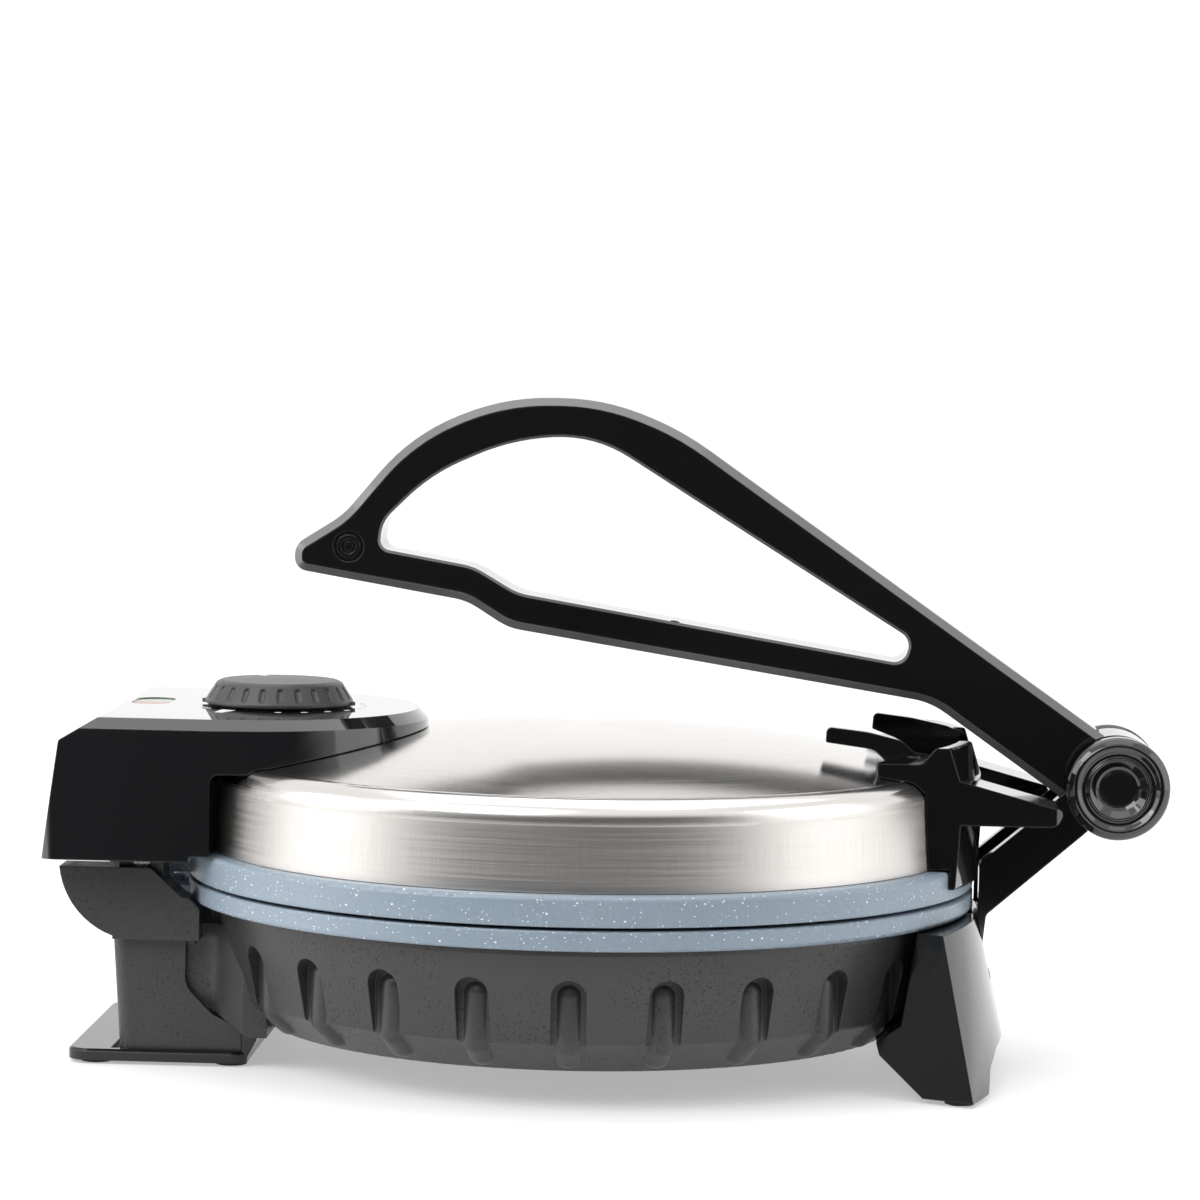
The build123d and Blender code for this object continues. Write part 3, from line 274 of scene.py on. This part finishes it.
def lid_steel(name):
    m = Mat(name)
    r, a, z = m.polar()
    # turned brushing: lines at constant radius on the crown and constant height on the wall
    track = m.math("ADD", r, m.math("MULTIPLY", z, -1.35))
    swirl = m.combine(m.math("MULTIPLY", track, 5200.0), m.math("MULTIPLY", a, 2.6), 0.0)
    lines = m.noise(1.0, 4.0, 0.7, swirl)
    swirl2 = m.combine(m.math("MULTIPLY", track, 1400.0), m.math("MULTIPLY", a, 1.3), 3.0)
    bands = m.noise(1.0, 3.0, 0.6, swirl2)
    cloud = m.noise(14.0, 3.0, 0.55, dist=0.8)
    base = m.mix(m.maprange(lines, 0.3, 0.7, 0.0, 1.0), (0.660, 0.635, 0.612), (0.770, 0.748, 0.725))
    base = m.mix(m.maprange(cloud, 0.35, 0.7, 0.0, 0.22), base, (0.70, 0.675, 0.65))
    # upright brushing on the wall
    up = m.noise(1.0, 3.0, 0.65, m.combine(m.math("MULTIPLY", a, 620.0), m.math("MULTIPLY", z, 55.0), 9.0))
    wl = m.maprange(z, 0.0915, 0.0985, 1.0, 0.0, smooth=True)
    base = m.mix(m.math("MULTIPLY", wl, m.maprange(up, 0.35, 0.65, 0.0, 0.55)), base, (0.560, 0.530, 0.505))
    # short stray scratches
    sc = m.noise(1.0, 2.0, 0.6, m.combine(m.math("MULTIPLY", track, 9000.0), m.math("MULTIPLY", a, 16.0), 5.0))
    scr = m.maprange(sc, 0.70, 0.76, 0.0, 1.0)
    base = m.mix(m.math("MULTIPLY", scr, 0.22), base, (0.80, 0.79, 0.78))
    # the wall is brushed coarser than the polished crown
    wall = wl
    rg_crown = m.maprange(bands, 0.3, 0.7, 0.13, 0.19)
    rg_wall = m.maprange(bands, 0.3, 0.7, 0.34, 0.43)
    mixr = m.new("ShaderNodeMix", data_type="FLOAT")
    m.link(wall, mixr.inputs[0]); m.link(rg_crown, mixr.inputs[2]); m.link(rg_wall, mixr.inputs[3])
    rg = m.math("ADD", mixr.outputs[0], m.math("MULTIPLY", scr, 0.10))
    h = m.math("ADD", m.math("MULTIPLY", lines, 0.7), m.math("MULTIPLY", bands, 0.25))
    hh = m.math("ADD", m.math("MULTIPLY", h, m.maprange(z, 0.0915, 0.0985, 0.22, 0.35)), m.math("MULTIPLY", m.math("MULTIPLY", up, wl), 0.8))
    nrm = m.bump(hh, 0.10, 0.0002)
    tg = m.new("ShaderNodeTangent", direction_type="RADIAL", axis="Z")
    return m.set(color=base, metal=1.0, rough=rg, aniso=0.35, normal=nrm, tangent=tg.outputs[0]).m


def ground_steel(name, tint=(0.46, 0.455, 0.45), rough=(0.22, 0.36), axis="Y"):
    m = Mat(name)
    sc = {"X": (60, 2600, 2600), "Y": (2600, 60, 2600), "Z": (2600, 2600, 60)}[axis]
    lines = m.noise(1.0, 3.0, 0.6, m.mapping(m.tc, scale=sc))
    cloud = m.noise(120.0, 3.0, 0.6)
    base = m.mix(m.maprange(cloud, 0.3, 0.7, 0.0, 1.0), tint, tuple(min(1, c * 1.3) for c in tint))
    base = m.mix(m.maprange(lines, 0.55, 0.8, 0.0, 0.4), base, tuple(c * 0.6 for c in tint))
    rg = m.maprange(lines, 0.3, 0.7, rough[0], rough[1])
    return m.set(color=base, metal=1.0, rough=rg, normal=m.bump(lines, 0.12, 0.0002)).m


def heated_sheath(name):
    m = Mat(name)
    c = m.noise(60.0, 4.0, 0.6, dist=0.6)
    base = m.mix(m.maprange(c, 0.3, 0.7, 0.0, 1.0), (0.16, 0.13, 0.11), (0.30, 0.27, 0.24))
    base = m.mix(m.maprange(m.noise(25.0, 2.0, 0.5), 0.5, 0.8, 0.0, 0.5), base, (0.16, 0.17, 0.24))
    return m.set(color=base, metal=1.0, rough=m.maprange(c, 0.3, 0.7, 0.38, 0.55), normal=m.bump(m.noise(800.0), 0.15, 0.0003)).m


def bright_sheet(name):
    m = Mat(name)
    c = m.noise(30.0, 4.0, 0.6, dist=0.3)
    lines = m.noise(1.0, 3.0, 0.6, m.mapping(m.tc, scale=(2500, 40, 40)))
    base = m.mix(m.maprange(c, 0.3, 0.7, 0.0, 1.0), (0.66, 0.66, 0.66), (0.78, 0.78, 0.77))
    base = m.mix(m.maprange(m.noise(70.0, 3.0), 0.6, 0.8, 0.0, 0.5), base, (0.42, 0.38, 0.33))
    return m.set(color=base, metal=1.0, rough=m.maprange(lines, 0.3, 0.7, 0.2, 0.34), normal=m.bump(lines, 0.1, 0.0002)).m


def black_enamel(name):
    m = Mat(name)
    bn = m.round_edges(0.0004)
    mask = m.edge_mask(bn)
    f = m.noise(1100.0, 3.0, 0.6)
    base = m.mix(m.maprange(m.noise(30.0), 0.3, 0.7, 0.0, 1.0), (0.020, 0.020, 0.021), (0.034, 0.034, 0.035))
    base = m.mix(m.math("MULTIPLY", mask, 0.5), base, (0.16, 0.16, 0.16))
    return m.set(color=base, rough=m.maprange(f, 0.3, 0.7, 0.42, 0.55), normal=m.bump(f, 0.2, 0.0003, bn)).m


def rubber(name, tint=(0.020, 0.020, 0.020)):
    m = Mat(name)
    bn = m.round_edges(0.0005)
    f = m.noise(1700.0, 3.0, 0.65)
    base = m.mix(m.maprange(m.noise(60.0, 3.0), 0.3, 0.7, 0.0, 1.0), tint, tuple(c * 1.9 for c in tint))
    base = m.mix(m.maprange(m.noise(240.0, 3.0), 0.6, 0.8, 0.0, 0.25), base, (0.16, 0.155, 0.15))
    return m.set(color=base, rough=m.maprange(f, 0.3, 0.7, 0.72, 0.88), normal=m.bump(f, 0.3, 0.0003, bn), sheen=0.05).m


def knob_plastic(name):
    m = Mat(name)
    bn = m.round_edges(0.0006)
    mask = m.edge_mask(bn)
    f = m.noise(1500.0, 3.0, 0.65)
    g = m.noise(3200.0, 2.0, 0.6)
    base = m.mix(m.maprange(m.noise(40.0, 3.0), 0.3, 0.7, 0.0, 1.0), (0.036, 0.036, 0.037), (0.046, 0.046, 0.048))
    base = m.mix(m.maprange(f, 0.55, 0.75, 0.0, 0.5), base, (0.060, 0.060, 0.063))
    base = m.mix(m.math("MULTIPLY", mask, 0.5), base, (0.085, 0.085, 0.088))
    h = m.math("ADD", m.math("MULTIPLY", f, 0.7), m.math("MULTIPLY", g, 0.4))
    return m.set(color=base, rough=m.maprange(f, 0.3, 0.7, 0.34, 0.44), normal=m.bump(h, 0.30, 0.0003, bn), spec=0.5).m


def moulded(name, lo, hi, rough=(0.38, 0.52)):
    m = Mat(name)
    bn = m.round_edges(0.0003)
    f = m.noise(900.0, 3.0, 0.6)
    base = m.mix(m.maprange(m.noise(50.0, 3.0), 0.3, 0.7, 0.0, 1.0), lo, hi)
    base = m.mix(m.maprange(m.noise(600.0, 2.0), 0.62, 0.75, 0.0, 0.3), base, tuple(c * 0.5 for c in lo))
    return m.set(color=base, rough=m.maprange(f, 0.3, 0.7, *rough), normal=m.bump(f, 0.15, 0.0003, bn)).m


def lens(name, dark, light, trans=0.55):
    m = Mat(name)
    bn = m.round_edges(0.0004)
    sep = m.new("ShaderNodeSeparateXYZ")
    m.link(m.tc, sep.inputs[0])
    # fine prismatic ribs moulded across the lens
    wave = m.math("SINE", m.math("MULTIPLY", sep.outputs[0], 5200.0))
    ribs = m.maprange(wave, -1.0, 1.0, 0.0, 1.0)
    base = m.mix(m.math("MULTIPLY", ribs, 0.6), dark, light)
    base = m.mix(m.maprange(m.noise(200.0, 2.0), 0.3, 0.7, 0.0, 0.3), base, light)
    return m.set(color=base, rough=m.maprange(m.noise(300.0), 0.3, 0.7, 0.08, 0.16), trans=trans, ior=1.5, normal=m.bump(ribs, 0.12, 0.0003, bn)).m


def white_ink(name):
    m = Mat(name)
    f = m.noise(1900.0, 3.0, 0.6)
    base = m.mix(m.maprange(f, 0.35, 0.7, 0.0, 1.0), (0.70, 0.70, 0.69), (0.82, 0.82, 0.81))
    return m.set(color=base, rough=m.maprange(f, 0.3, 0.7, 0.42, 0.6), normal=m.bump(f, 0.2, 0.0002)).m


def brass(name):
    m = Mat(name)
    lines = m.noise(1.0, 3.0, 0.6, m.mapping(m.tc, scale=(2600, 60, 2600)))
    c = m.noise(90.0, 3.0)
    base = m.mix(m.maprange(c, 0.3, 0.7, 0.0, 1.0), (0.50, 0.34, 0.12), (0.66, 0.48, 0.20))
    return m.set(color=base, metal=1.0, rough=m.maprange(lines, 0.3, 0.7, 0.22, 0.38), normal=m.bump(lines, 0.12, 0.0002)).m


def sleeve(name):
    """Woven glass sleeve on the leads."""
    m = Mat(name)
    sep = m.new("ShaderNodeSeparateXYZ")
    m.link(m.tc, sep.inputs[0])
    s = m.math("ADD", sep.outputs[1], sep.outputs[2])
    d = m.math("SUBTRACT", sep.outputs[1], sep.outputs[2])
    w = m.math("MULTIPLY", m.math("SINE", m.math("MULTIPLY", s, 6000.0)), m.math("SINE", m.math("MULTIPLY", d, 6000.0)))
    k = m.maprange(w, -1.0, 1.0, 0.0, 1.0)
    base = m.mix(k, (0.42, 0.40, 0.35), (0.70, 0.68, 0.62))
    return m.set(color=base, rough=m.maprange(k, 0.0, 1.0, 0.62, 0.82), normal=m.bump(k, 0.5, 0.0003), sheen=0.1).m


M_BLACK = gloss_black("gloss_black_moulding", rough=(0.06, 0.11), peel=0.02, coat=0.5)
M_BOX = gloss_black("gloss_black_box", tint=(0.0075, 0.0075, 0.0084), rough=(0.035, 0.065), edge=0.0006, peel=0.008, dust=0.5, coat=1.0)
M_HANDLE = gloss_black("gloss_black_lever", tint=(0.0052, 0.0050, 0.0052), rough=(0.07, 0.12), edge=0.0008, peel=0.02, coat=0.6, band=0.75)
M_LEG = gloss_black("gloss_black_leg", tint=(0.0036, 0.0036, 0.0039), rough=(0.06, 0.11), edge=0.0006, peel=0.015, grain=0.02)
M_CAP = gloss_black("gloss_black_cap", tint=(0.0050, 0.0050, 0.0054), rough=(0.05, 0.09), edge=0.0005, peel=0.015, coat=0.8)
M_FOOT = gloss_black("gloss_black_foot", tint=(0.0045, 0.0045, 0.0048), rough=(0.09, 0.15), edge=0.0006, peel=0.05)
M_HOUSING = housing_plastic("speckled_housing")
M_PLATE = plate_coat("speckled_plate_coat")
M_STEEL = lid_steel("spun_steel_cover")
M_PIN = ground_steel("ground_pin")
M_SCREW = ground_steel("plated_screw", (0.42, 0.42, 0.43), (0.28, 0.42), "Z")
M_SHEATH = heated_sheath("oxidised_sheath")
M_SHEET = bright_sheet("bright_reflector")
M_ENAMEL = black_enamel("black_enamel")
M_RUBBER = rubber("black_rubber")
M_KNOB = knob_plastic("knob_plastic")
M_IVORY = moulded("ivory_strip", (0.50, 0.47, 0.40), (0.62, 0.59, 0.52))
M_BROWN = moulded("brown_moulding", (0.055, 0.035, 0.022), (0.085, 0.056, 0.036))
M_WHITE = moulded("white_moulding", (0.55, 0.55, 0.53), (0.66, 0.66, 0.64))
M_RED = lens("red_lens", (0.42, 0.012, 0.010), (0.80, 0.10, 0.07))
M_GREEN = lens("green_lens", (0.42, 0.60, 0.38), (0.70, 0.82, 0.66))
M_LAMP = lens("lamp_glass", (0.62, 0.52, 0.38), (0.85, 0.78, 0.66), 0.8)
M_INK = white_ink("white_ink")
M_BRASS = brass("turned_brass")
M_SLEEVE = sleeve("woven_sleeve")

FINISH = {
    "lower_housing": M_HOUSING, "bottom_cover": M_ENAMEL, "rear_foot_cover": M_FOOT, "front_leg": M_LEG,
    "front_foot_pads": M_RUBBER, "rear_foot_pads": M_RUBBER, "lower_plate": M_PLATE, "upper_plate": M_PLATE,
    "lower_heating_element": M_SHEATH, "upper_heating_element": M_SHEATH, "heat_reflector": M_SHEET,
    "lower_thermal_cutoff": M_SHEET, "upper_thermal_cutoff": M_SHEET, "terminal_block": M_IVORY,
    "lower_wiring": M_SLEEVE, "upper_wiring": M_SLEEVE, "cord_inlet_gland": M_RUBBER, "hinge_pin": M_PIN,
    "yoke_pivot_pin": M_PIN, "hub_axle": M_PIN, "base_screws": M_SCREW, "leg_screws": M_SCREW,
    "plate_screws": M_SCREW, "bracket_screws": M_SCREW, "handle_screws": M_SCREW, "lid_shell": M_STEEL,
    "control_box": M_BOX, "control_box_floor": M_BOX, "thermostat": M_BROWN, "power_lens": M_RED,
    "ready_lens": M_GREEN, "indicator_lamps": M_LAMP, "lamp_holder": M_WHITE, "lid_bracket": M_BLACK,
    "control_knob": M_KNOB, "knob_pointer": M_INK, "yoke": M_BLACK, "near_roller_cap": M_CAP,
    "far_roller_cap": M_CAP, "handle_near_half": M_HANDLE, "handle_far_half": M_HANDLE,
    "handle_tip_plug": M_CAP, "handle_hub_bush": M_BRASS,
}
for n, o in nodes.items():
    o.data.materials.clear()
    o.data.materials.append(FINISH.get(n, M_BLACK))


def mm(x, y, z):
    """Plate-axis millimetres to the part's frame in metres."""
    return Vector((x / 1000 - XS, y / 1000, z / 1000))


# ---------------------------------------------------------------- dial marks on the box top
def plate_mesh(name, outlines, z0, z1, material, body):
    """Thin printed marks: closed outlines in plate-axis mm, raised from z0 to z1."""
    verts, faces = [], []
    for pts in outlines:
        n = len(pts)
        b = len(verts)
        verts += [mm(x, y, z0) for x, y in pts] + [mm(x, y, z1) for x, y in pts]
        faces.append(list(range(b + n, b + 2 * n)))
        faces.append(list(range(b, b + n))[::-1])
        for i in range(n):
            j = (i + 1) % n
            faces.append([b + i, b + j, b + n + j, b + n + i])
    me = bpy.data.meshes.new(name)
    me.from_pydata([tuple(v) for v in verts], [], faces)
    me.validate()
    import bmesh
    bm = bmesh.new()
    bm.from_mesh(me)
    bmesh.ops.recalc_face_normals(bm, faces=bm.faces)
    bm.to_mesh(me)
    bm.free()
    me.materials.append(material)
    o = bpy.data.objects.new(name, me)
    scene.collection.objects.link(o)
    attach(o, body)
    return o


KX, KY = -104.0, 0.0


def ring_piece(r0, r1, a0, a1, n=8, r0b=None, r1b=None):
    """Sector between two radii; the radii may change along it for a tapering band."""
    r0b = r0 if r0b is None else r0b
    r1b = r1 if r1b is None else r1b
    out, inn = [], []
    for i in range(n + 1):
        t = i / n
        a = math.radians(a0 + (a1 - a0) * t)
        ro, ri = r1 + (r1b - r1) * t, r0 + (r0b - r0) * t
        out.append((KX + ro * math.cos(a), KY + ro * math.sin(a)))
        inn.append((KX + ri * math.cos(a), KY + ri * math.sin(a)))
    return out + inn[::-1]


marks = []
# dashes of the heat scale round the knob
for a in (-84.0, -66.5, -49.5, -32.0, -14.5, 3.0, 20.5, 38.0):
    marks.append(ring_piece(28.6, 29.8, a - 2.1, a + 2.1, 3))
# stepped mark beside them
for i, (az, half) in enumerate(((-120.0, 5.0), (-118.6, 4.2), (-117.4, 3.3), (-116.4, 2.4))):
    marks.append(ring_piece(27.9 + 2.5 * i, 29.7 + 2.5 * i, az - half, az + half, 4))
# thin arc running on from the band
marks.append(ring_piece(28.2, 28.8, -160.0, -137.0, 10))
plate_mesh("dial_marks", marks, 116.38, 116.46, M_INK, "lid")

# ---------------------------------------------------------------- floor, light, camera
me = bpy.data.meshes.new("floor")
nx, ny = 24, 20
x0, x1, y0, y1 = -5.0, 5.0, -0.36, 7.0
verts = [(x0 + (x1 - x0) * i / nx, y0 + (y1 - y0) * j / ny, 0.0) for j in range(ny + 1) for i in range(nx + 1)]
faces = [(j * (nx + 1) + i, j * (nx + 1) + i + 1, (j + 1) * (nx + 1) + i + 1, (j + 1) * (nx + 1) + i) for j in range(ny) for i in range(nx)]
me.from_pydata(verts, [], faces)
fm = Mat("studio_paper")
paper = fm.noise(3.0, 3.0, 0.5)
fm.set(color=fm.mix(fm.maprange(paper, 0.3, 0.7, 0.0, 1.0), (0.600, 0.600, 0.600), (0.615, 0.615, 0.615)), rough=fm.maprange(paper, 0.3, 0.7, 0.50, 0.58), spec=0.35, emis=(1.0, 1.0, 1.0), emis_s=0.40)
me.materials.append(fm.m)
floor = bpy.data.objects.new("floor", me)
scene.collection.objects.link(floor)

# a white studio all round, with a dark set behind the camera for the black mouldings to mirror
world = bpy.data.worlds.new("studio")
scene.world = world
world.use_nodes = True
wn = world.node_tree
wn.nodes.clear()


def wnode(kind, **kw):
    n = wn.nodes.new(kind)
    for k, v in kw.items():
        setattr(n, k, v)
    return n


def wrange(src, a, b, c, d):
    n = wnode("ShaderNodeMapRange", interpolation_type="SMOOTHSTEP")
    wn.links.new(src, n.inputs[0])
    for i, x in zip((1, 2, 3, 4), (a, b, c, d)):
        n.inputs[i].default_value = x
    return n.outputs[0]


wo = wnode("ShaderNodeOutputWorld")
tc = wnode("ShaderNodeTexCoord")
sp = wnode("ShaderNodeSeparateXYZ")
wn.links.new(tc.outputs["Generated"], sp.inputs[0])
dark_y = wrange(sp.outputs[1], -0.80, -0.40, 1.0, 0.0)
dark_z = wrange(sp.outputs[2], 0.30, 0.62, 1.0, 0.0)
dark = wnode("ShaderNodeMath", operation="MULTIPLY")
wn.links.new(dark_y, dark.inputs[0])
wn.links.new(dark_z, dark.inputs[1])
cr = wnode("ShaderNodeValToRGB")
wn.links.new(dark.outputs[0], cr.inputs[0])
cr.color_ramp.elements[0].color = (1.0, 1.0, 1.0, 1)
cr.color_ramp.elements[1].color = (0.030, 0.030, 0.032, 1)
seen = wnode("ShaderNodeBackground")
wn.links.new(cr.outputs[0], seen.inputs[0])
seen.inputs[1].default_value = 1.12
plain = wnode("ShaderNodeBackground")
plain.inputs[0].default_value = (1.0, 1.0, 1.0, 1)
plain.inputs[1].default_value = 1.05
lp = wnode("ShaderNodeLightPath")
pick = wnode("ShaderNodeMixShader")
wn.links.new(lp.outputs["Is Camera Ray"], pick.inputs[0])
wn.links.new(seen.outputs[0], pick.inputs[1])
wn.links.new(plain.outputs[0], pick.inputs[2])
wn.links.new(pick.outputs[0], wo.inputs[0])


def area(name, loc, target, size, power, color=(1, 1, 1)):
    l = bpy.data.lights.new(name, "AREA")
    l.shape = "RECTANGLE"
    l.size, l.size_y = size
    l.energy = power
    l.color = color
    o = bpy.data.objects.new(name, l)
    o.location = loc
    d = Vector(target) - Vector(loc)
    o.rotation_euler = d.to_track_quat("-Z", "Y").to_euler()
    scene.collection.objects.link(o)
    return o


area("key_soft", (-0.80, -1.00, 1.10), (0.0, 0.0, 0.10), (1.2, 0.8), 12.0)
area("top_soft", (0.05, 0.15, 1.6), (0.0, 0.0, 0.05), (1.8, 1.6), 8.0)
area("front_panel", (1.35, -0.30, 0.50), (0.1, 0.0, 0.1), (0.9, 1.1), 3.0)
area("rear_panel", (-1.35, -0.35, 0.55), (-0.1, 0.0, 0.1), (0.9, 1.0), 5.0)

scene.view_settings.view_transform = "Standard"
scene.view_settings.look = "None"
scene.view_settings.exposure = 0.0

cam = bpy.data.cameras.new("photo_camera")
cam.sensor_width = 36.0
cam.sensor_fit = "HORIZONTAL"
cam.lens = 4053.0 / 1200.0 * 36.0
cam.clip_start, cam.clip_end = 0.05, 30.0
co = bpy.data.objects.new("photo_camera", cam)
yaw, pit, rol = (math.radians(v) for v in (2.42, 3.62, 1.07))
look = Vector((-math.sin(yaw) * math.cos(pit), math.cos(yaw) * math.cos(pit), -math.sin(pit)))
right = Vector((math.cos(yaw), math.sin(yaw), 0.0))
up = right.cross(look)
rx = right * math.cos(rol) + up * math.sin(rol)
ux = -right * math.sin(rol) + up * math.cos(rol)
co.matrix_world = Matrix(((rx.x, ux.x, -look.x, 0), (rx.y, ux.y, -look.y, 0), (rx.z, ux.z, -look.z, 0), (0, 0, 0, 1)))
co.location = mm(62.785, -1372.03, 241.379)
scene.collection.objects.link(co)
scene.camera = co

bpy.context.view_layer.update()
